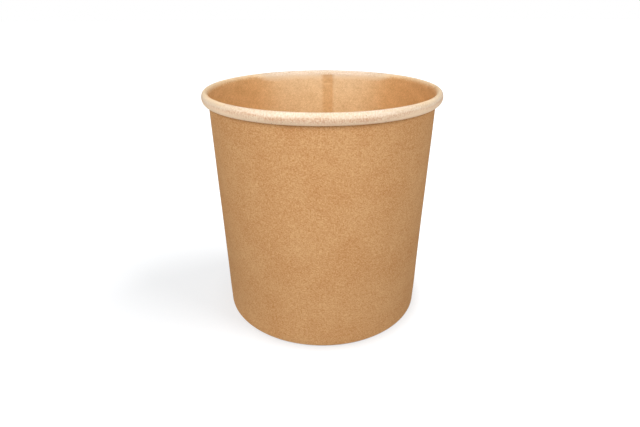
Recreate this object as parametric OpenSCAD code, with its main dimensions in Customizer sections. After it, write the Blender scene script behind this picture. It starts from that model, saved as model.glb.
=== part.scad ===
// A paper soup cup, made of two pieces of board. The side wall is one blank, wrapped to a
// slight cone and glued in a lap. Its top is rolled outward into a rim, and its foot is
// folded inward and up round the skirt of a raised bottom disc. The origin is on the
// cup's axis, on the surface that the foot stands on, and the lap is on the +Y side.

/* [Cup] */
// Outside diameter of the rolled rim, which a lid fits
rim_d = 98; // [90:0.5:120]
// Outside diameter of the wall at the foot
foot_d = 89; // [75:0.5:92]
// Height from the foot to the top of the rim
cup_h = 98; // [50:1:160]

/* [Board] */
// Thickness of the side wall's board
wall_board = 0.35; // [0.25:0.01:0.45]
// Thickness of the bottom disc's board
disc_board = 0.3; // [0.2:0.01:0.45]
// Thickness of the seal on each face of the disc's skirt
seal = 0.03; // [0.01:0.01:0.06]

/* [Rim] */
// Width of the roll, from the wall's inner face to the roll's outermost point
roll_w = 2.95; // [2.6:0.05:4]
// Height of the roll, from its underside to its top
roll_h = 4.35; // [3.2:0.05:5.5]
// Angle that the board turns through in the roll
roll_turn = 430; // [360:10:470]
// Gap between the turns of the roll
roll_gap = 0.12; // [0.05:0.01:0.2]

/* [Lap] */
// Width of the glued lap, where the blank's two ends overlap
lap_w = 5; // [3:0.5:12]
// Angle from +Y towards +X to the middle of the lap
lap_at = 3.5; // [-30:0.5:30]
// Width of the jog, in which the outer ply comes back down beside the inner ply's edge
jog_w = 1.2; // [0.8:0.1:3]
// Step left between the lap's outer face and the top of the jog
jog_step = 0.07; // [0.03:0.01:0.12]

/* [Foot] */
// Height of the hem, where the wall's foot is folded up inside the skirt
hem_h = 7; // [4:0.5:15]
// Inside radius of the two folds under the skirt
fold_in_r = 0.04; // [0.02:0.01:0.1]
// Gap between the skirt's lower edge and the fold under it
skirt_gap = 0.15; // [0.05:0.05:1]
// Height from the hem's upper edge to the start of the disc's bend
hem_room = 0.5; // [0.1:0.1:4]
// Radius of the bend between disc and skirt, at the middle of the board
disc_bend_r = 0.6; // [0.4:0.05:1.5]

/* [Hidden] */
$fn = 80;

// Turn between two points of the rolled rim's section
roll_step = 22.5;
// Steps in each bend of the foot and the disc
bend_steps = 3;
// How far the jog reaches into the lap beside it, and its thin end into the wall
jog_bite = 0.08;
// How far the cutter of the groove stands clear of the wall's inner face
groove_reach = 1;

// The roll is an oval spiral, whose second half turn and later ones close in by a
// board and a gap for each half turn. All of this is at the middle of the board.
roll_pitch = wall_board + roll_gap;
roll_a = (roll_w - wall_board) / 2;
roll_b = (roll_h - wall_board + roll_pitch / 2) / 2;
roll_r = (rim_d - wall_board) / 2 - roll_a;
roll_z = cup_h - wall_board / 2 - roll_b;

// Gain of the wall's radius for each unit of height
wall_lean = (roll_r - roll_a - (foot_d - wall_board) / 2) / roll_z;
// Distances from the middle of the wall's board in to the middle of the skirt and hem
skirt_in = (wall_board + disc_board) / 2 + seal;
hem_in = wall_board + disc_board + 2 * seal;
// Radius of the folds at the middle of the board, and the height of their centres
fold_r = fold_in_r + wall_board / 2;
fold_z = fold_r + wall_board / 2;
// Height of the skirt's lower edge, of the bend's start and of the disc's middle
skirt_z = wall_board + skirt_gap;
bend_z = hem_h + hem_room;
disc_z = bend_z + disc_bend_r;
// Angle that the lap covers, and where it starts, counted from +X
lap_turn = lap_w / wall_mid(roll_z) * 180 / PI;
lap_start = 90 - lap_at - lap_turn / 2;
// Height of the jog over the wall's outer face, where it meets the lap
jog_rise = wall_board - jog_step;

// Radius of the middle of the wall's board at height z
function wall_mid(z) = (foot_d - wall_board) / 2 + wall_lean * z;

// Points of an arc about c from angle a to angle b
function arc(c, r, a, b) =
    [for (i = [0:bend_steps]) let (t = a + (b - a) * i / bend_steps) c + r * [cos(t), sin(t)]];

// Point of the roll after the board has turned through angle u from the upright wall
function roll_point(u) = let (s = roll_pitch * max(0, u - 180) / 180)
    [roll_r - (roll_a - s) * cos(u), roll_z + (roll_b - s) * sin(u)];

// Unit normal of the stretch between two points, on its left
function normal(a, b) = [a.y - b.y, b.x - a.x] / norm(b - a);

// Mitred normal at point i of a path
function mitre(p, i) = let (
    before = normal(p[max(i - 1, 0)], p[max(i, 1)]),
    after = normal(p[min(i, len(p) - 2)], p[min(i + 1, len(p) - 1)]),
    sum = before + after) 2 * sum / (sum * sum);

// Outline of a board of thickness t that follows path p
function board_outline(p, t) = concat(
    [for (i = [0:len(p) - 1]) p[i] + mitre(p, i) * t / 2],
    [for (i = [len(p) - 1:-1:0]) p[i] - mitre(p, i) * t / 2]);

// Middle of the wall's board, from the hem's upper edge round the foot to the roll's end
wall_path = concat(
    [[wall_mid(hem_h) - hem_in, hem_h]],
    arc([wall_mid(fold_z) - hem_in + fold_r, fold_z], fold_r, 180, 270),
    arc([wall_mid(fold_z) - fold_r, fold_z], fold_r, 270, 360),
    [for (u = [0:roll_step:roll_turn - 1]) roll_point(u)],
    [roll_point(roll_turn)]);

// Middle of the disc's board, from the axis over the bend to the skirt's lower edge
disc_path = concat(
    [[0, disc_z]],
    arc([wall_mid(bend_z) - skirt_in - disc_bend_r, bend_z], disc_bend_r, 90, 0),
    [[wall_mid(skirt_z) - skirt_in, skirt_z]]);

// Stands an outline in the wall at the lap's start and runs it up along the wall's
// lean. Its X is measured out from the middle of the board, and its Y towards the lap.
module along_wall(z0, z1) {
    rotate([0, 0, lap_start])
        translate([wall_mid(z0), 0, z0])
            rotate([0, atan(wall_lean), 0])
                linear_extrude(z1 - z0) children();
}

// The outer end of the blank, over the inner end, up to where the roll closes on it
module lap_ply() {
    rotate([0, 0, lap_start]) rotate_extrude(angle = lap_turn)
        polygon([
            [wall_mid(fold_z), fold_z],
            [wall_mid(fold_z) + 1.5 * wall_board, fold_z],
            [wall_mid(roll_z) + 1.5 * wall_board, roll_z],
            [wall_mid(roll_z), roll_z]]);
}

// The outer ply, as it comes down beside the lap
module lap_jog() {
    along_wall(fold_z, roll_z) polygon([
        [0, jog_bite],
        [wall_board / 2 + jog_rise, jog_bite],
        [wall_board / 2 - jog_bite, -jog_w],
        [0, -jog_w]]);
}

// The groove that the jog leaves inside, along the inner ply's cut edge
module lap_groove() {
    along_wall(disc_z, roll_z + roll_b) polygon([
        [jog_rise - wall_board / 2, 0],
        [-wall_board / 2 - groove_reach, 0],
        [-wall_board / 2 - groove_reach, -jog_w],
        [-wall_board / 2 - jog_bite, -jog_w]]);
}

// Wrapped wall, with its rolled rim, lap and hem
module side_wall() {
    color("#c4945f") difference() {
        union() {
            rotate_extrude() polygon(board_outline(wall_path, wall_board));
            lap_ply();
            lap_jog();
        }
        lap_groove();
    }
}

// Raised disc, with its edge turned down as a skirt
module bottom_disc() {
    color("#b98a58") rotate_extrude() polygon(board_outline(disc_path, disc_board));
}

side_wall();
bottom_disc();
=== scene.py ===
"""An open paper soup cup of kraft board: the wall is spun from its section, with its pale
rolled rim, its glued lap and its folded foot, and the bottom disc from its own."""
from math import cos, hypot, pi, radians, sin

import bpy
from mathutils import Matrix, Vector


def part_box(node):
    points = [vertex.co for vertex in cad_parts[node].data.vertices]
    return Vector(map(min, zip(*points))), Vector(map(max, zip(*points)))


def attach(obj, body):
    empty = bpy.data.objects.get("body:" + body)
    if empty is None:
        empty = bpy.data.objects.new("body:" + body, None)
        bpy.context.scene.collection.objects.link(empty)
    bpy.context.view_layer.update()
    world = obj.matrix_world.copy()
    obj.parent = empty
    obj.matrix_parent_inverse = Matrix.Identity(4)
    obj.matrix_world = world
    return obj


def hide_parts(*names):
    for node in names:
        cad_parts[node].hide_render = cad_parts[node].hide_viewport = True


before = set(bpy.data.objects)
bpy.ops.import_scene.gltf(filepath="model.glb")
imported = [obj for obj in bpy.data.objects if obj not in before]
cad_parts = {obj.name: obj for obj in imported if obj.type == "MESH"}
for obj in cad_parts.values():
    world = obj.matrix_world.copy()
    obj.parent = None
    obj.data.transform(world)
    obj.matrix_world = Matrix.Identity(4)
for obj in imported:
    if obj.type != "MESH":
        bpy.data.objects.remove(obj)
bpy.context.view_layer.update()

WALL_LOW, WALL_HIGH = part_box("side_wall")
MM = 0.001

# How far the second ply swells the roll, and how deep its edge shows there, as a share
# of the board
LAP_SWELL = 0.08 * MM
RIM_NOTCH = 0.3

# The cup, in metres. The rim and the height are the frame's own, which the swell reaches.
RIM_R = (WALL_HIGH[0] - WALL_LOW[0]) / 2 - LAP_SWELL
CUP_H = WALL_HIGH[2] - LAP_SWELL
FOOT_R = 44.5 * MM
WALL_BOARD = 0.35 * MM
DISC_BOARD = 0.3 * MM
SEAL = 0.03 * MM
ROLL_W = 2.95 * MM
ROLL_H = 4.35 * MM
ROLL_GAP = 0.12 * MM
ROLL_TURN = 430
HEM_H = 7 * MM
HEM_ROOM = 0.5 * MM
FOLD_IN_R = 0.04 * MM
SKIRT_GAP = 0.15 * MM
DISC_BEND_R = 0.6 * MM
LAP_W = 5 * MM
LAP_AT = 3.5
JOG_W = 1.2 * MM
CREASE_BELOW_ROLL = 4.1 * MM

# Worked out from them as in the frame, all at the middle of the board
ROLL_PITCH = WALL_BOARD + ROLL_GAP
ROLL_A = (ROLL_W - WALL_BOARD) / 2
ROLL_B = (ROLL_H - WALL_BOARD + ROLL_PITCH / 2) / 2
ROLL_R = RIM_R - WALL_BOARD / 2 - ROLL_A
ROLL_Z = CUP_H - WALL_BOARD / 2 - ROLL_B
WALL_LEAN = (ROLL_R - ROLL_A - FOOT_R + WALL_BOARD / 2) / ROLL_Z
FOLD_R = FOLD_IN_R + WALL_BOARD / 2
FOLD_Z = FOLD_R + WALL_BOARD / 2
SKIRT_IN = (WALL_BOARD + DISC_BOARD) / 2 + SEAL
HEM_IN = WALL_BOARD + DISC_BOARD + 2 * SEAL
BEND_Z = HEM_H + HEM_ROOM
LAP_EDGE = radians(90 - LAP_AT) - LAP_W / 2 / (ROLL_R - ROLL_A)

# How finely the boards are divided: degrees of the roll, steps of a fold, rows of the
# wall and rings of the disc, and round the cup the lap's own step and the other columns
ROLL_STEP = 6
FOLD_STEPS = 6
WALL_ROWS = 34
DISC_RINGS = 12
LAP_STEP = 0.1 * MM
LAP_MARGIN = 0.4 * MM
ROUND_COLUMNS = 200
# Points closer than this are one point, and edges sharper than this stay sharp
WELD = 0.001 * MM
SHARP = radians(40)

# How far a real blank strays from a true cone, how wide its hollows are, the share of it
# that is left on the roll, and the share of it that goes up and down
UNEVEN = 0.09 * MM
UNEVEN_SIZE = 32 * MM
ROLL_UNEVEN = 0.6
UNEVEN_UPWARD = 0.4
# Noise strays about a quarter from its middle, and this brings it to the full amount
NOISE_GAIN = 4.0
# Zones of a board's outline, as the tree's material inputs take them
FILM, KRAFT, EDGE = 0, 1, 2

# Strengths of the studio's walls and ceiling, and the upward share of a direction at
# which the walls' strength ends and at which the ceiling's is reached
WALLS = 0.376
CEILING = 0.284
WALLS_UP_TO = 0.2
CEILING_FROM = 0.8
# The table: half its width, how far it lies under the foot, and its matt grey for the
# camera and for the light that it sends back
FLOOR_HALF = 3.0
FLOOR_DROP = 0.02 * MM
FLOOR_SEEN = "#AAAAAA"
FLOOR_UNSEEN = "#A5A5A5"
# Its own white, which brings it to paper white in the picture. It is a little cool,
# against the brown light that the cup throws on the table.
FLOOR_GLOW = 0.775
FLOOR_TINT = "#FBFDFF"
# The narrow shade where the cup stands: how far it reaches from the foot, how open the
# table is where it is full, and the share of white left in it on the left, where the
# cup's shadow lies anyway, and on the right. That share changes between two places
# across the foot, in radii of the foot.
CONTACT_SHADE = 12 * MM
CONTACT_OPEN = 0.2
CONTACT_LEFT, CONTACT_RIGHT = 0.9, 0.1
CONTACT_FROM, CONTACT_TO = -0.7, 0.3
# Strength of a glow of the table left of the foot, which the camera does not see: painted
# light on the wall, for the light that the shadow takes from the table, and how far it
# reaches, in radii of the foot
SHADOW_FILL = 0.55
FILL_REACH = 1.7
# Softboxes on the cup: name, place, width, height and power, in metres and watts
SOFTBOXES = (
    ("left_softbox", (-0.2, -0.28, 0.255), 0.2, 0.2, 0.7),
    ("right_softbox", (0.2, -0.28, 0.255), 0.2, 0.2, 0.61),
    ("top_softbox", (0, -0.05, 0.6), 0.3, 0.3, 1.11),
)
# The soft light of the shadow: strength, width and height over the table in degrees
SHADOW_LIGHT = 4.6
SHADOW_SOFTNESS = 54
SHADOW_HEIGHT = 40
# How far the shadow turns to the back, in degrees from straight left
SHADOW_BACK = 2.5


def linear(colour):
    """An sRGB hex colour as the linear RGBA that shaders take."""
    parts = [int(colour[i:i + 2], 16) / 255 for i in (1, 3, 5)]
    return [*(p / 12.92 if p <= 0.04045 else ((p + 0.055) / 1.055) ** 2.4 for p in parts), 1]


def add(tree, kind, sockets=None, **settings):
    """Adds a node, sets its properties, and fills its sockets with values or links."""
    made = tree.nodes.new(kind)
    for name, value in settings.items():
        setattr(made, name, value)
    for key, value in (sockets or {}).items():
        if isinstance(value, bpy.types.NodeSocket):
            tree.links.new(value, made.inputs[key])
        else:
            made.inputs[key].default_value = value
    return made


def wall_mid(z):
    """Radius of the middle of the wall's board at height z."""
    return FOOT_R - WALL_BOARD / 2 + WALL_LEAN * z


def arc(centre, radius, start, end):
    """Points of an arc in the section, angles in degrees."""
    turns = [radians(start + (end - start) * i / FOLD_STEPS) for i in range(FOLD_STEPS + 1)]
    return [(centre[0] + radius * cos(t), centre[1] + radius * sin(t)) for t in turns]


def roll_point(turn):
    """Point of the rolled rim after the board has turned through an angle in degrees."""
    closed_in = ROLL_PITCH * max(0, turn - 180) / 180
    return (ROLL_R - (ROLL_A - closed_in) * cos(radians(turn)),
            ROLL_Z + (ROLL_B - closed_in) * sin(radians(turn)))


def wall_path():
    """Middle of the wall's board, from the hem's edge round the foot to the roll's end."""
    hem_foot = wall_mid(FOLD_Z) - HEM_IN
    rise = [FOLD_Z + (ROLL_Z - FOLD_Z) * i / WALL_ROWS for i in range(1, WALL_ROWS)]
    turns = [*range(0, ROLL_TURN, ROLL_STEP), ROLL_TURN]
    return ([(wall_mid(HEM_H) - HEM_IN, HEM_H)]
            + arc((hem_foot + FOLD_R, FOLD_Z), FOLD_R, 180, 270)
            + arc((wall_mid(FOLD_Z) - FOLD_R, FOLD_Z), FOLD_R, 270, 360)
            + [(wall_mid(z), z) for z in rise]
            + [roll_point(turn) for turn in turns])


def disc_path():
    """Middle of the disc's board, from the axis over the bend to the skirt's edge."""
    bend_r = wall_mid(BEND_Z) - SKIRT_IN - DISC_BEND_R
    flat = [(bend_r * i / DISC_RINGS, BEND_Z + DISC_BEND_R) for i in range(DISC_RINGS)]
    skirt_z = WALL_BOARD + SKIRT_GAP
    return (flat + arc((bend_r, BEND_Z), DISC_BEND_R, 90, 0)
            + [(wall_mid(skirt_z) - SKIRT_IN, skirt_z)])


def left_normals(path):
    """Mitred normals of a path on its left, where the board's film side is."""
    ways = [Vector((b[0] - a[0], b[1] - a[1])).normalized() for a, b in zip(path, path[1:])]
    sides = [Vector((-way.y, way.x)) for way in ways]
    sums = [a + b for a, b in zip([sides[0]] + sides, sides + [sides[-1]])]
    return [2 * total / total.length_squared for total in sums]


def board_section(name, path, board, closed, moves):
    """A board's outline as a mesh line in the XZ plane, which the tree spins into a board.

    moves(point, side) gives a point's ply, groove and rim vectors and its unevenness."""
    normals = left_normals(path)
    along = [0.0]
    for a, b in zip(path, path[1:]):
        along.append(along[-1] + hypot(b[0] - a[0], b[1] - a[1]))
    stations = range(len(path))
    rows = [(i, FILM) for i in stations] + [(i, KRAFT) for i in reversed(stations)]
    zones = [FILM] * (len(path) - 1) + [EDGE] + [KRAFT] * (len(path) - 1)
    if closed:
        rows.append(rows[0])
        zones.append(EDGE)
    zones.append(zones[-1])
    mesh = bpy.data.meshes.new(name)
    mesh.from_pydata(
        [(path[i][0] + normals[i].x * board / 2 * (1 if side == FILM else -1), 0,
          path[i][1] + normals[i].y * board / 2 * (1 if side == FILM else -1))
         for i, side in rows],
        [(i, i + 1) for i in range(len(rows) - 1)], [])
    values = [moves(path[i], normals[i], side) for i, side in rows]
    for number, label in enumerate(("ply", "groove", "rim")):
        flat = [x for value in values for x in (value[number].x, 0, value[number].y)]
        mesh.attributes.new(label, "FLOAT_VECTOR", "POINT").data.foreach_set("vector", flat)
    mesh.attributes.new("uneven", "FLOAT", "POINT").data.foreach_set(
        "value", [value[3] for value in values])
    mesh.attributes.new("along", "FLOAT", "POINT").data.foreach_set(
        "value", [along[i] for i, side in rows])
    mesh.attributes.new("zone", "INT", "POINT").data.foreach_set("value", zones)
    return bpy.data.objects.new(name, mesh), along


def wall_moves(point, normal, side):
    """How the lap and the board's unevenness move one point of the wall's section."""
    out = -normal
    still = Vector((0, 0))
    on_roll = point[1] > ROLL_Z or point[0] > wall_mid(point[1]) + WALL_BOARD / 2
    if on_roll:
        notch = out * WALL_BOARD * RIM_NOTCH if side == FILM else still
        return still, notch, normal * LAP_SWELL, ROLL_UNEVEN
    upright = min(1, max(0, (point[1] - FOLD_Z) / (BEND_Z - FOLD_Z)))
    if point[0] < wall_mid(point[1]) - WALL_BOARD or upright == 0:
        return still, still, still, 0
    below_roll = min(1, (ROLL_Z - point[1]) / ROLL_B)
    ply = out * WALL_BOARD if side == KRAFT else still
    groove = out * WALL_BOARD * (RIM_NOTCH + (1 - RIM_NOTCH) * below_roll)
    clear_of_disc = 1 if point[1] > BEND_Z + DISC_BEND_R else 0
    return ply, groove * clear_of_disc if side == FILM else still, still, upright ** 2


def disc_moves(point, normal, side):
    """The disc has no lap, and stays true where it is held."""
    still = Vector((0, 0))
    return still, still, still, 0


def spin_tree():
    """Node tree that spins a board's section round the axis, with closer columns at the
    lap, moves it there by the section's own vectors and gives each zone its material."""
    tree = bpy.data.node_groups.new("spun_board", "GeometryNodeTree")
    kinds = {
        "Section": "NodeSocketGeometry",
        "Lap Columns": "NodeSocketInt", "Round Columns": "NodeSocketInt",
        "Lap From": "NodeSocketFloat", "Lap Span": "NodeSocketFloat",
        "Lap Edge": "NodeSocketFloat", "Wall Radius": "NodeSocketFloat",
        "Lap Width": "NodeSocketFloat", "Jog Width": "NodeSocketFloat",
        "Uneven": "NodeSocketFloat", "Uneven Size": "NodeSocketFloat",
        "Film Side": "NodeSocketMaterial", "Kraft Side": "NodeSocketMaterial",
        "Cut Edge": "NodeSocketMaterial"}
    for label, kind in kinds.items():
        tree.interface.new_socket(label, in_out="INPUT", socket_type=kind)
    tree.interface.new_socket("Board", in_out="OUTPUT", socket_type="NodeSocketGeometry")
    given = add(tree, "NodeGroupInput").outputs

    def whole(operation, a, b):
        return add(tree, "FunctionNodeIntegerMath", {0: a, 1: b}, operation=operation).outputs[0]

    def math(operation, a, b=0.0, c=0.0):
        return add(tree, "ShaderNodeMath", {0: a, 1: b, 2: c}, operation=operation).outputs[0]

    def vector_math(operation, a, b):
        return add(tree, "ShaderNodeVectorMath", {0: a, 1: b}, operation=operation).outputs[0]

    def scaled(vector, factor):
        return add(tree, "ShaderNodeVectorMath", {"Vector": vector, "Scale": factor},
                   operation="SCALE").outputs[0]

    def ramp(value, low, high, smooth=False):
        kind = "SMOOTHSTEP" if smooth else "LINEAR"
        return add(tree, "ShaderNodeMapRange", {0: value, 1: low, 2: high},
                   interpolation_type=kind).outputs[0]

    # Grid of one row for each point of the section and one column for each angle
    rows = add(tree, "GeometryNodeAttributeDomainSize", {0: given["Section"]}).outputs[0]
    columns = whole("ADD", given["Lap Columns"], given["Round Columns"])
    grid = add(tree, "GeometryNodeMeshGrid",
               {"Vertices X": whole("ADD", columns, 1), "Vertices Y": rows}).outputs[0]
    index = add(tree, "GeometryNodeInputIndex").outputs[0]
    column = whole("DIVIDE_FLOOR", index, rows)
    row = whole("MODULO", index, rows)

    def sampled(label, kind, index_of=row):
        value = add(tree, "GeometryNodeInputNamedAttribute", {0: label}, data_type=kind)
        return add(tree, "GeometryNodeSampleIndex",
                   {0: given["Section"], 1: value.outputs[0], 2: index_of},
                   data_type=kind).outputs[0]

    # Angle of a column, and its distance round the wall from the inner ply's cut edge
    fine = math("DIVIDE", given["Lap Span"], given["Lap Columns"])
    coarse = math("DIVIDE", math("SUBTRACT", 2 * pi, given["Lap Span"]), given["Round Columns"])
    in_lap = math("MINIMUM", column, given["Lap Columns"])
    past_lap = math("SUBTRACT", column, in_lap)
    angle = math("MULTIPLY_ADD", past_lap, coarse,
                 math("MULTIPLY_ADD", in_lap, fine, given["Lap From"]))
    across = math("MULTIPLY", math("SUBTRACT", angle, given["Lap Edge"]), given["Wall Radius"])

    # The outer ply comes down over the jog, stands full over the lap and ends square
    half = math("MULTIPLY", math("MULTIPLY", fine, given["Wall Radius"]), 0.5)
    jog = ramp(across, math("MULTIPLY", given["Jog Width"], -1.0), 0.0)
    lap_end = math("ADD", given["Lap Width"], half)
    ply = math("MULTIPLY", jog, math("LESS_THAN", across, lap_end))
    groove = math("MULTIPLY", jog, math("LESS_THAN", across, math("MULTIPLY", half, -1.0)))
    falling = ramp(across, math("ADD", lap_end, given["Jog Width"]), given["Lap Width"], True)
    swell = math("MULTIPLY", jog, falling)

    spot = add(tree, "GeometryNodeSampleIndex",
               {0: given["Section"], 1: add(tree, "GeometryNodeInputPosition").outputs[0], 2: row},
               data_type="FLOAT_VECTOR").outputs[0]
    for share, label in ((ply, "ply"), (groove, "groove"), (swell, "rim")):
        spot = vector_math("ADD", spot, scaled(sampled(label, "FLOAT_VECTOR"), share))
    spun = add(tree, "ShaderNodeVectorRotate", {"Vector": spot, "Angle": angle},
               rotation_type="Z_AXIS").outputs[0]
    placed = add(tree, "GeometryNodeSetPosition", {0: grid, "Position": spun}).outputs[0]

    # Slow hollows and swells, read on the placed board so that both faces move together
    here = add(tree, "GeometryNodeInputPosition").outputs[0]
    noise = add(tree, "ShaderNodeTexNoise",
                {"Vector": here, "Scale": math("DIVIDE", 1.0, given["Uneven Size"]),
                 "Detail": 1.0})
    stray = vector_math("SUBTRACT", noise.outputs["Color"], (0.5, 0.5, 0.5))
    stray = vector_math("MULTIPLY", stray, (1, 1, UNEVEN_UPWARD))
    amount = math("MULTIPLY", math("MULTIPLY", given["Uneven"], NOISE_GAIN),
                  sampled("uneven", "FLOAT"))
    placed = add(tree, "GeometryNodeSetPosition",
                 {0: placed, "Offset": scaled(stray, amount)}).outputs[0]

    # The map is in metres: across the lap and round, and along the board
    measured = add(tree, "ShaderNodeCombineXYZ", {0: across, 1: sampled("along", "FLOAT")})
    on_points = add(tree, "GeometryNodeFieldOnDomain", {0: measured.outputs[0]},
                    data_type="FLOAT_VECTOR", domain="POINT")
    placed = add(tree, "GeometryNodeStoreNamedAttribute",
                 {0: placed, "Name": "UVMap", "Value": on_points.outputs[0]},
                 data_type="FLOAT2", domain="CORNER").outputs[0]
    face_row = whole("MODULO", index, whole("SUBTRACT", rows, 1))
    placed = add(tree, "GeometryNodeStoreNamedAttribute",
                 {0: placed, "Name": "zone", "Value": sampled("zone", "INT", face_row)},
                 data_type="INT", domain="FACE").outputs[0]

    # Closed where it meets itself, smooth but for the cut edges, and given its materials
    welded = add(tree, "GeometryNodeMergeByDistance", {0: placed, "Distance": WELD}).outputs[0]
    smooth = add(tree, "GeometryNodeSetShadeSmooth", {0: welded}).outputs[0]
    corner = add(tree, "GeometryNodeInputMeshEdgeAngle").outputs["Unsigned Angle"]
    creased = add(tree, "GeometryNodeSetShadeSmooth",
                  {0: smooth, "Selection": math("GREATER_THAN", corner, SHARP),
                   "Shade Smooth": False}, domain="EDGE").outputs[0]
    board = add(tree, "GeometryNodeRealizeInstances", {0: creased}).outputs[0]
    zone = add(tree, "GeometryNodeInputNamedAttribute", {0: "zone"}, data_type="INT").outputs[0]
    for number, label in ((FILM, "Film Side"), (KRAFT, "Kraft Side"), (EDGE, "Cut Edge")):
        chosen = add(tree, "FunctionNodeCompare", {2: zone, 3: number},
                     data_type="INT", operation="EQUAL").outputs[0]
        board = add(tree, "GeometryNodeSetMaterial",
                    {0: board, "Selection": chosen, "Material": given[label]}).outputs[0]
    add(tree, "NodeGroupOutput", {0: board})
    return tree


def spun(section, name, tree, values):
    """Runs the tree on a section with its inputs set, and keeps the result as a plain mesh."""
    bpy.context.collection.objects.link(section)
    modifier = section.modifiers.new("spin", "NODES")
    modifier.node_group = tree
    sockets = {item.name: item.identifier for item in tree.interface.items_tree
               if item.in_out == "INPUT"}
    for label, value in values.items():
        modifier[sockets[label]] = value
    section.update_tag()
    bpy.context.view_layer.update()
    evaluated = section.evaluated_get(bpy.context.evaluated_depsgraph_get())
    mesh = bpy.data.meshes.new_from_object(evaluated)
    section.modifiers.remove(modifier)
    bpy.data.objects.remove(section)
    mesh.name = name
    piece = bpy.data.objects.new(name, mesh)
    bpy.context.collection.objects.link(piece)
    return piece


# Layers of the pulp's pattern: width in millimetres, length over width, turn in degrees
# and share. Real kraft fibres are 0.04 mm wide and 1 to 3 mm long, which is too fine to
# show, so the fibre layers are drawn as bundles of them.
KRAFT_LAYERS = (
    (17, 1, 0, 0.17),
    (6, 1, 0, 0.16),
    (1.6, 1, 0, 0.17),
    (0.55, 1, 0, 0.57),
    (0.3, 5, 22, 0.4),
    (0.3, 6, -38, 0.4),
    (0.28, 5, 80, 0.4),
)
# Under the film the grain is softer, and the film's own hold on the pulp shows as blotches
FILM_LAYERS = (
    (12, 1, 0, 0.17),
    (3.5, 1.5, 15, 0.3),
    (1.3, 1, 0, 0.25),
    (0.55, 1, 0, 0.45),
    (0.3, 5, 22, 0.35),
    (0.3, 6, -38, 0.35),
    (0.28, 5, 80, 0.35),
)
# The roll crumples the face: blotches, and fine wrinkles that run along the board
ROLL_LAYERS = (
    (12, 1, 0, 0.4),
    (2.5, 3, 0, 0.5),
    (0.6, 1, 0, 1.1),
    (0.4, 3, 90, 0.85),
)
# Specks of bark in the board, and finer ones of bare pulp where the film is stretched:
# spacing and radius in millimetres, and share of the places that have one
BARK_SPECKS = (9, 0.3, 0.25)
PULP_SPECKS = (0.9, 0.2, 0.3)

# The film's colour on the way to cream, in millimetres along the board from the roll's
# start: where each change begins and where it is complete. A pale tail of painted sheen
# comes up the inside, then a warm edge, the cream, the roll's outer side and its lighter
# last part, which is painted light on the roll's underside.
SHEEN_TAIL_SPAN = (-14, 2)
WARM_SPAN = (-1.1, 1.6)
CREAM_SPAN = (0.5, 3.2)
OUTER_SPAN = (5.8, 6.5)
UNDERLIGHT_SPAN = (5.7, 7.6)
SHEEN_TAIL_SHARE = 0.25
# How far these changes wander, in millimetres: the warm edge and the cream with the
# grain, with slow clouds and at the cup's two sides, the painted sheen and the painted
# light on the underside at the sides, and the outer side with the clouds. A minus makes a
# change begin later.
EDGE_BY_GRAIN, EDGE_BY_CLOUDS, EDGE_BY_SIDES = 1.0, 2.5, -3.2
SHEEN_TAIL_BY_SIDES = -10
OUTER_BY_CLOUDS = 2.8
UNDERLIGHT_BY_SIDES = 1.2
# Width of the clouds, and the power that keeps the later edge to the very sides
CLOUD_SIZE = 22 * MM
SIDES_POWER = 4.0

# Painted shade round the wall: darker and more orange at the cup's sides than in the
# paler middle, which stands for a sheen there. The middle lies left of the lap by half
# this angle, and the shade runs between two values of a cosine
SIDE_SHADE_LEFT = 0.2
SIDE_SHADE_FROM, SIDE_SHADE_TO = 0.9, -0.1
# To the right a painted shade, darker and greyer, runs between two values of a sine
RIGHT_SHADE_FROM, RIGHT_SHADE_TO = -0.4, -1.0

# Softness of the lap band's cut edge, its far edge and its upper end
BAND_NEAR_SOFT = 0.2 * MM
BAND_FAR_SOFT = 0.8 * MM
BAND_TOP_SOFT = 1.1 * MM
# Half width of the crease across the band, with its soft sides and without, and its share
CREASE_HALF = 0.6 * MM
CREASE_CORE = 0.1 * MM
CREASE_SHARE = 0.35
# Roughness of the stretched film on the inside and the top, and on the crumpled outer side
SMOOTH_ROUGHNESS, CRUMPLED_ROUGHNESS = 0.5, 0.8


def material(name):
    """A new material, with its node tree emptied but for output and shader."""
    made = bpy.data.materials.new(name)
    made.use_nodes = True
    tree = made.node_tree
    tree.nodes.clear()
    shader = add(tree, "ShaderNodeBsdfPrincipled")
    add(tree, "ShaderNodeOutputMaterial", {"Surface": shader.outputs[0]})
    return made, tree, shader


def pulp(tree, where, layers=KRAFT_LAYERS):
    """Brightness of pressed pulp about 0.5, read where given in metres."""
    total = 0.5
    for width, stretch, turn, share in layers:
        turned = add(tree, "ShaderNodeMapping",
                     {"Vector": where, "Rotation": (0, 0, radians(turn)),
                      "Scale": (stretch, 1, 1)}, vector_type="TEXTURE")
        noise = add(tree, "ShaderNodeTexNoise",
                    {"Vector": turned.outputs[0], "Scale": 1 / (width * MM), "Detail": 1.5})
        centred = add(tree, "ShaderNodeMath", {0: noise.outputs["Fac"], 1: 0.5},
                      operation="SUBTRACT")
        total = add(tree, "ShaderNodeMath", {0: centred.outputs[0], 1: share * 2, 2: total},
                    operation="MULTIPLY_ADD").outputs[0]
    return total


def specks(tree, where, spacing, radius, share):
    """1 on small scattered dots: spacing and radius in millimetres, share of cells."""
    cells = add(tree, "ShaderNodeTexVoronoi", {"Vector": where, "Scale": 1 / (spacing * MM)})
    inside = add(tree, "ShaderNodeMapRange",
                 {0: cells.outputs["Distance"], 1: radius / spacing, 2: radius / spacing * 0.5})
    picked = add(tree, "ShaderNodeMath", {0: cells.outputs["Color"], 1: share},
                 operation="LESS_THAN")
    return add(tree, "ShaderNodeMath", {0: inside.outputs[0], 1: picked.outputs[0]},
               operation="MULTIPLY").outputs[0]


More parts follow.
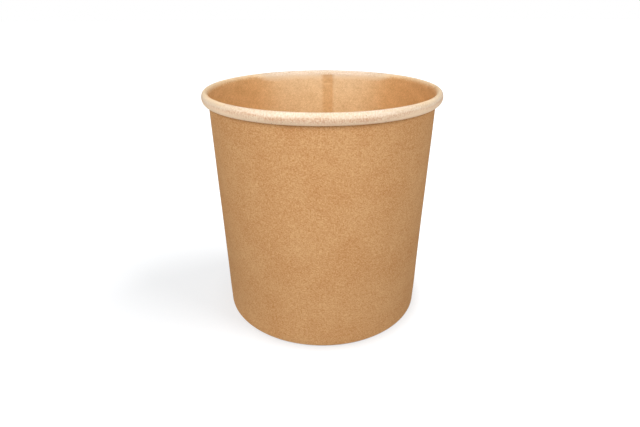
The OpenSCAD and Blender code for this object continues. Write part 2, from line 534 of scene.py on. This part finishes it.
def mixed(tree, share, first, second, blend="MIX"):
    """Colour between two colours or sockets by a share."""
    made = add(tree, "ShaderNodeMix", {"Factor": share}, data_type="RGBA", blend_type=blend)
    for number, value in ((6, first), (7, second)):
        if isinstance(value, bpy.types.NodeSocket):
            tree.links.new(value, made.inputs[number])
        else:
            made.inputs[number].default_value = linear(value)
    return made.outputs[2]


def place(tree, surface):
    """Where the pattern is read: the board's own map, or the object on the flat disc."""
    if surface == "map":
        return add(tree, "ShaderNodeUVMap", uv_map="UVMap").outputs[0]
    return add(tree, "ShaderNodeTexCoord").outputs["Object"]


def kraft_side(name, surface):
    """Bare kraft board, pressed and unglazed: a matt brown face whose pulp shows as fine
    grain, short fibres, slow clouds and a few dark specks of bark."""
    made, tree, shader = material(name)
    where = place(tree, surface)
    grain = pulp(tree, where)
    colour = mixed(tree, grain, "#BA7E48", "#DFB380")
    colour = mixed(tree, specks(tree, where, *BARK_SPECKS), colour, "#6E4A2A")
    tree.links.new(colour, shader.inputs["Base Color"])
    shader.inputs["Roughness"].default_value = 0.9
    shader.inputs["Specular IOR Level"].default_value = 0.12
    bump = add(tree, "ShaderNodeBump", {"Height": grain, "Distance": 0.05 * MM, "Strength": 0.5})
    tree.links.new(bump.outputs[0], shader.inputs["Normal"])
    return made


def film_side(name, surface, roll_from=None):
    """Kraft board under a thin clear film: the film wets the pulp, so the brown is deeper
    and has a soft sheen. Where the roll stretches it, film and pulp turn pale cream."""
    made, tree, shader = material(name)
    where = place(tree, surface)
    grain = pulp(tree, where, FILM_LAYERS)
    colour = mixed(tree, grain, "#D0A469", "#FCD8A4")
    shader.inputs["Roughness"].default_value = 0.52
    shader.inputs["Specular IOR Level"].default_value = 1.0
    if roll_from is not None:
        # Painted shade: darker and more orange at the cup's sides, darker and greyer on the right
        sideways = side_shade_share(tree, where)
        colour = mixed(tree, sideways, colour, "#F8E7D1", "MULTIPLY")
        colour = mixed(tree, right_shade_share(tree, where), colour, "#F9F2EA", "MULTIPLY")
        colour, rough = stretched(tree, where, grain, sideways, colour, roll_from)
        colour = lap_band(tree, where, colour, roll_from)
        tree.links.new(rough, shader.inputs["Roughness"])
    tree.links.new(colour, shader.inputs["Base Color"])
    bump = add(tree, "ShaderNodeBump", {"Height": grain, "Distance": 0.02 * MM, "Strength": 0.5})
    tree.links.new(bump.outputs[0], shader.inputs["Normal"])
    return made


def side_shade_share(tree, where):
    """0 near the lap and opposite it, 1 at the cup's sides: the share of painted side shade."""
    across = add(tree, "ShaderNodeSeparateXYZ", {0: where}).outputs[0]
    turn = add(tree, "ShaderNodeMath", {0: across, 1: 2 / (ROLL_R - ROLL_A), 2: -SIDE_SHADE_LEFT},
               operation="MULTIPLY_ADD").outputs[0]
    wave = add(tree, "ShaderNodeMath", {0: turn}, operation="COSINE").outputs[0]
    return add(tree, "ShaderNodeMapRange", {0: wave, 1: SIDE_SHADE_FROM, 2: SIDE_SHADE_TO},
               interpolation_type="SMOOTHSTEP").outputs[0]


def right_shade_share(tree, where):
    """1 a quarter turn right of the lap, 0 near the lap and all round the left: the share
    of the painted shade on the right.
    """
    across = add(tree, "ShaderNodeSeparateXYZ", {0: where}).outputs[0]
    turn = add(tree, "ShaderNodeMath", {0: across, 1: 1 / (ROLL_R - ROLL_A)},
               operation="MULTIPLY").outputs[0]
    wave = add(tree, "ShaderNodeMath", {0: turn}, operation="SINE").outputs[0]
    return add(tree, "ShaderNodeMapRange", {0: wave, 1: RIGHT_SHADE_FROM, 2: RIGHT_SHADE_TO}).outputs[0]


def lap_band(tree, where, colour, roll_from):
    """The pressed lap is darker, where the film has soaked into the board, with a thin
    pale crease across it under the rim, where the press let go."""
    across, along = add(tree, "ShaderNodeSeparateXYZ", {0: where}).outputs[:2]
    near = add(tree, "ShaderNodeMapRange",
               {0: across, 1: -BAND_NEAR_SOFT, 2: BAND_NEAR_SOFT}).outputs[0]
    far = add(tree, "ShaderNodeMapRange",
              {0: across, 1: LAP_W + BAND_FAR_SOFT, 2: LAP_W - BAND_FAR_SOFT}).outputs[0]
    below = add(tree, "ShaderNodeMapRange",
                {0: along, 1: roll_from + BAND_TOP_SOFT, 2: roll_from}).outputs[0]
    band = add(tree, "ShaderNodeMath", {0: near, 1: far}, operation="MULTIPLY").outputs[0]
    band = add(tree, "ShaderNodeMath", {0: band, 1: below}, operation="MULTIPLY").outputs[0]
    colour = mixed(tree, band, colour, "#F2E4D0", "MULTIPLY")
    above = add(tree, "ShaderNodeMath", {0: along, 1: roll_from - CREASE_BELOW_ROLL},
                operation="SUBTRACT").outputs[0]
    away = add(tree, "ShaderNodeMath", {0: above}, operation="ABSOLUTE").outputs[0]
    crease = add(tree, "ShaderNodeMapRange", {0: away, 1: CREASE_HALF, 2: CREASE_CORE}).outputs[0]
    crease = add(tree, "ShaderNodeMath", {0: crease, 1: band}, operation="MULTIPLY").outputs[0]
    crease = add(tree, "ShaderNodeMath", {0: crease, 1: CREASE_SHARE},
                 operation="MULTIPLY").outputs[0]
    return mixed(tree, crease, colour, "#FFD9A0")


def stretched(tree, where, grain, sideways, colour, roll_from):
    """Cream of the stretched film from about the roll's start on, with a ragged warm edge
    where it begins. It is palest over the top, partly as a painted highlight, pinker and
    more crumpled on the outer side, lighter at the end of the roll's underside as painted
    light, and has fine brown specks. A pale tail of painted sheen comes up the inside
    before it. Gives the colour, and a roughness that rises outward."""
    along = add(tree, "ShaderNodeSeparateXYZ", {0: where}).outputs[1]
    slow = add(tree, "ShaderNodeTexNoise",
               {"Vector": where, "Scale": 1 / CLOUD_SIZE, "Detail": 1.0}).outputs["Fac"]

    def shifted(value, share, start):
        return add(tree, "ShaderNodeMath", {0: value, 1: share * MM, 2: start},
                   operation="MULTIPLY_ADD").outputs[0]

    def fading(value, span):
        return add(tree, "ShaderNodeMapRange",
                   {0: value, 1: roll_from + span[0] * MM, 2: roll_from + span[1] * MM},
                   interpolation_type="SMOOTHSTEP").outputs[0]

    sides = add(tree, "ShaderNodeMath", {0: sideways, 1: SIDES_POWER},
                operation="POWER").outputs[0]
    ragged = shifted(slow, EDGE_BY_CLOUDS, shifted(grain, EDGE_BY_GRAIN, along))
    ragged = shifted(sides, EDGE_BY_SIDES, ragged)
    # Painted sheen: a pale tail up the inside, shorter at the cup's sides
    tail = fading(shifted(sideways, SHEEN_TAIL_BY_SIDES, along), SHEEN_TAIL_SPAN)
    tail = add(tree, "ShaderNodeMath", {0: tail, 1: SHEEN_TAIL_SHARE}, operation="MULTIPLY").outputs[0]
    warm = add(tree, "ShaderNodeMath", {0: fading(ragged, WARM_SPAN), 1: tail},
               operation="MAXIMUM").outputs[0]
    colour = mixed(tree, warm, colour, "#F4D6AC")
    crumpled = pulp(tree, where, ROLL_LAYERS)
    # The top is paler than the outer side, partly a painted highlight
    top = mixed(tree, crumpled, "#DCBF9B", "#EED9C2")
    side = mixed(tree, crumpled, "#D0A07D", "#EAD1B2")
    outer = fading(shifted(slow, OUTER_BY_CLOUDS, along), OUTER_SPAN)
    cream = mixed(tree, outer, top, side)
    # Painted light on the roll's underside, which faces down: lighter towards its end, and more so
    # at the cup's sides
    underlight = fading(shifted(sideways, UNDERLIGHT_BY_SIDES, along), UNDERLIGHT_SPAN)
    cream = mixed(tree, underlight, cream, "#FFE1BD")
    cream = mixed(tree, specks(tree, where, *PULP_SPECKS), cream, "#AE8258")
    rough = add(tree, "ShaderNodeMapRange",
                {0: outer, 3: SMOOTH_ROUGHNESS, 4: CRUMPLED_ROUGHNESS}).outputs[0]
    return mixed(tree, fading(ragged, CREAM_SPAN), colour, cream), rough


def cut_edge(name):
    """The sheared edge of the board: raw pulp with no glaze, paler than its faces."""
    made, tree, shader = material(name)
    colour = mixed(tree, pulp(tree, place(tree, "object")), "#C79C6C", "#EBCFA6")
    tree.links.new(colour, shader.inputs["Base Color"])
    shader.inputs["Roughness"].default_value = 0.95
    shader.inputs["Specular IOR Level"].default_value = 0.2
    return made


def make_cup():
    """Spins the wall and the disc, and sets them on the frame in place of its nodes."""
    tree = spin_tree()
    edge = cut_edge("sheared_kraft_board_edge")
    path = wall_path()
    section, along = board_section("wall_section", path, WALL_BOARD, True, wall_moves)
    roll_from = along[path.index(roll_point(0))]
    margin = JOG_W + LAP_MARGIN
    fine_width = margin + LAP_W + margin
    lap_columns = round(fine_width / LAP_STEP)
    radius = ROLL_R - ROLL_A
    wall = spun(section, "rolled_wall", tree, {
        "Lap Columns": lap_columns, "Round Columns": ROUND_COLUMNS,
        "Lap From": LAP_EDGE - margin / radius, "Lap Span": fine_width / radius,
        "Lap Edge": LAP_EDGE, "Wall Radius": radius,
        "Lap Width": LAP_W, "Jog Width": JOG_W,
        "Uneven": UNEVEN, "Uneven Size": UNEVEN_SIZE,
        "Film Side": film_side("film_coated_kraft_wall", "map", roll_from),
        "Kraft Side": kraft_side("pressed_kraft_board_wall", "map"),
        "Cut Edge": edge})
    section, along = board_section("disc_section", disc_path(), DISC_BOARD, False, disc_moves)
    disc = spun(section, "raised_bottom", tree, {
        "Lap Columns": 1, "Round Columns": ROUND_COLUMNS,
        "Lap From": 0.0, "Lap Span": 2 * pi / ROUND_COLUMNS,
        "Lap Edge": 0.0, "Wall Radius": radius,
        "Lap Width": LAP_W, "Jog Width": JOG_W,
        "Uneven": 0.0, "Uneven Size": UNEVEN_SIZE,
        "Film Side": film_side("film_coated_kraft_disc", "object"),
        "Kraft Side": kraft_side("pressed_kraft_board_disc", "object"),
        "Cut Edge": edge})
    for piece, node, slot in ((wall, "side_wall", "wall_board"),
                              (disc, "bottom_disc", "disc_board")):
        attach(piece, "root")
        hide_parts(node)
    return wall, disc


def make_camera():
    """Camera of the photograph's view: lens, height, distance and, in radians, its pitch,
    yaw and roll, all as fitted to the outlines there."""
    focal_px, frame_px, sensor = 451.6, 640, 36
    distance, height = 191 * MM, 130.5 * MM
    pitch, yaw, roll = 0.4429, -0.0054, -0.0038
    forward = Vector((sin(yaw) * cos(pitch), cos(yaw) * cos(pitch), -sin(pitch)))
    right = forward.cross(Vector((0, 0, 1))).normalized()
    up = right.cross(forward)
    turned = cos(roll) * right + sin(roll) * up
    upright = cos(roll) * up - sin(roll) * right
    data = bpy.data.cameras.new("camera")
    data.sensor_width = sensor
    data.lens = sensor * focal_px / frame_px
    data.clip_start = 0.01
    camera = bpy.data.objects.new("camera", data)
    camera.matrix_world = Matrix((turned, upright, -forward)).transposed().to_4x4()
    camera.location = (0, -distance, height)
    bpy.context.collection.objects.link(camera)
    bpy.context.scene.camera = camera


def lit_by(lamp, name, pieces):
    """Keeps a lamp's light to some objects. All of them still cast its shadows."""
    taken = bpy.data.collections.new(name)
    for piece in pieces:
        taken.objects.link(piece)
    lamp.light_linking.receiver_collection = taken


def make_lamps(cup, floor):
    """Softboxes that light the cup from the front, and high soft light for its shadow."""
    for name, place_at, wide, high, power in SOFTBOXES:
        data = bpy.data.lights.new(name, "AREA")
        data.shape = "RECTANGLE"
        data.size = wide
        data.size_y = high
        data.energy = power
        made = bpy.data.objects.new(name, data)
        made.location = place_at
        aim = Vector((0, 0, CUP_H / 2)) - made.location
        made.rotation_euler = aim.to_track_quat("-Z", "Y").to_euler()
        bpy.context.collection.objects.link(made)
        lit_by(made, name + "_lights", cup)
    data = bpy.data.lights.new("high_light", "SUN")
    data.energy = SHADOW_LIGHT
    data.angle = radians(SHADOW_SOFTNESS)
    made = bpy.data.objects.new("high_light", data)
    made.rotation_euler = (0, radians(90 - SHADOW_HEIGHT), radians(-SHADOW_BACK))
    bpy.context.collection.objects.link(made)
    lit_by(made, "high_light_lights", [floor])


def make_floor():
    """Pale table, which the camera sees as white but for the cup's shadow."""
    mesh = bpy.data.meshes.new("floor")
    corners = [(-1, -1), (1, -1), (1, 1), (-1, 1)]
    mesh.from_pydata([(x * FLOOR_HALF, y * FLOOR_HALF, -FLOOR_DROP) for x, y in corners],
                     [], [(0, 1, 2, 3)])
    floor = bpy.data.objects.new("floor", mesh)
    bpy.context.collection.objects.link(floor)
    made = bpy.data.materials.new("white_table")
    made.use_nodes = True
    tree = made.node_tree
    tree.nodes.clear()
    seen = add(tree, "ShaderNodeLightPath").outputs["Is Camera Ray"]
    tone = mixed(tree, seen, FLOOR_UNSEEN, FLOOR_SEEN)
    matt = add(tree, "ShaderNodeBsdfDiffuse", {"Color": tone})
    here = add(tree, "ShaderNodeTexCoord").outputs["Object"]
    across = add(tree, "ShaderNodeSeparateXYZ", {0: here}).outputs[0]

    # What the camera sees: the table's own white, less of it in the shade at the foot
    openness = add(tree, "ShaderNodeAmbientOcclusion", {"Distance": CONTACT_SHADE}).outputs["AO"]
    shaded = add(tree, "ShaderNodeMapRange",
                 {0: across, 1: CONTACT_FROM * FOOT_R, 2: CONTACT_TO * FOOT_R,
                  3: CONTACT_LEFT * FLOOR_GLOW, 4: CONTACT_RIGHT * FLOOR_GLOW}).outputs[0]
    white = add(tree, "ShaderNodeMapRange",
                {0: openness, 1: CONTACT_OPEN, 2: 1.0, 3: shaded, 4: FLOOR_GLOW}).outputs[0]

    # What the cup gets: painted light, a glow from close by on the left, which falls off to
    # nothing
    away = add(tree, "ShaderNodeVectorMath", {0: here}, operation="LENGTH").outputs["Value"]
    near = add(tree, "ShaderNodeMapRange",
               {0: away, 1: FILL_REACH * FOOT_R, 2: FOOT_R}).outputs[0]
    left = add(tree, "ShaderNodeMapRange",
               {0: across, 1: 0.0, 2: -FOOT_R, 3: 0.0, 4: SHADOW_FILL}).outputs[0]
    fill_glow = add(tree, "ShaderNodeMath", {0: near, 1: left}, operation="MULTIPLY").outputs[0]
    strength = add(tree, "ShaderNodeMapRange", {0: seen, 3: fill_glow, 4: white}).outputs[0]
    glow = add(tree, "ShaderNodeEmission", {"Color": linear(FLOOR_TINT), "Strength": strength})
    both = add(tree, "ShaderNodeAddShader", {0: matt.outputs[0], 1: glow.outputs[0]})
    add(tree, "ShaderNodeOutputMaterial", {"Surface": both.outputs[0]})
    mesh.materials.append(made)
    return floor


def make_world():
    """White studio whose walls are brighter than its ceiling. The camera sees plain white."""
    world = bpy.data.worlds.new("studio")
    bpy.context.scene.world = world
    world.use_nodes = True
    tree = world.node_tree
    tree.nodes.clear()
    way = add(tree, "ShaderNodeTexCoord").outputs["Generated"]
    height = add(tree, "ShaderNodeSeparateXYZ", {0: way}).outputs[2]
    room = add(tree, "ShaderNodeMapRange",
               {0: height, 1: WALLS_UP_TO, 2: CEILING_FROM, 3: WALLS, 4: CEILING})
    seen = add(tree, "ShaderNodeLightPath").outputs["Is Camera Ray"]
    strength = add(tree, "ShaderNodeMapRange",
                   {0: seen, 3: room.outputs[0], 4: 1.0}).outputs[0]
    white = add(tree, "ShaderNodeBackground", {"Color": (1, 1, 1, 1), "Strength": strength})
    add(tree, "ShaderNodeOutputWorld", {"Surface": white.outputs[0]})


make_camera()
cup = make_cup()
floor = make_floor()
make_world()
make_lamps(cup, floor)
bpy.context.scene.view_settings.view_transform = "Standard"
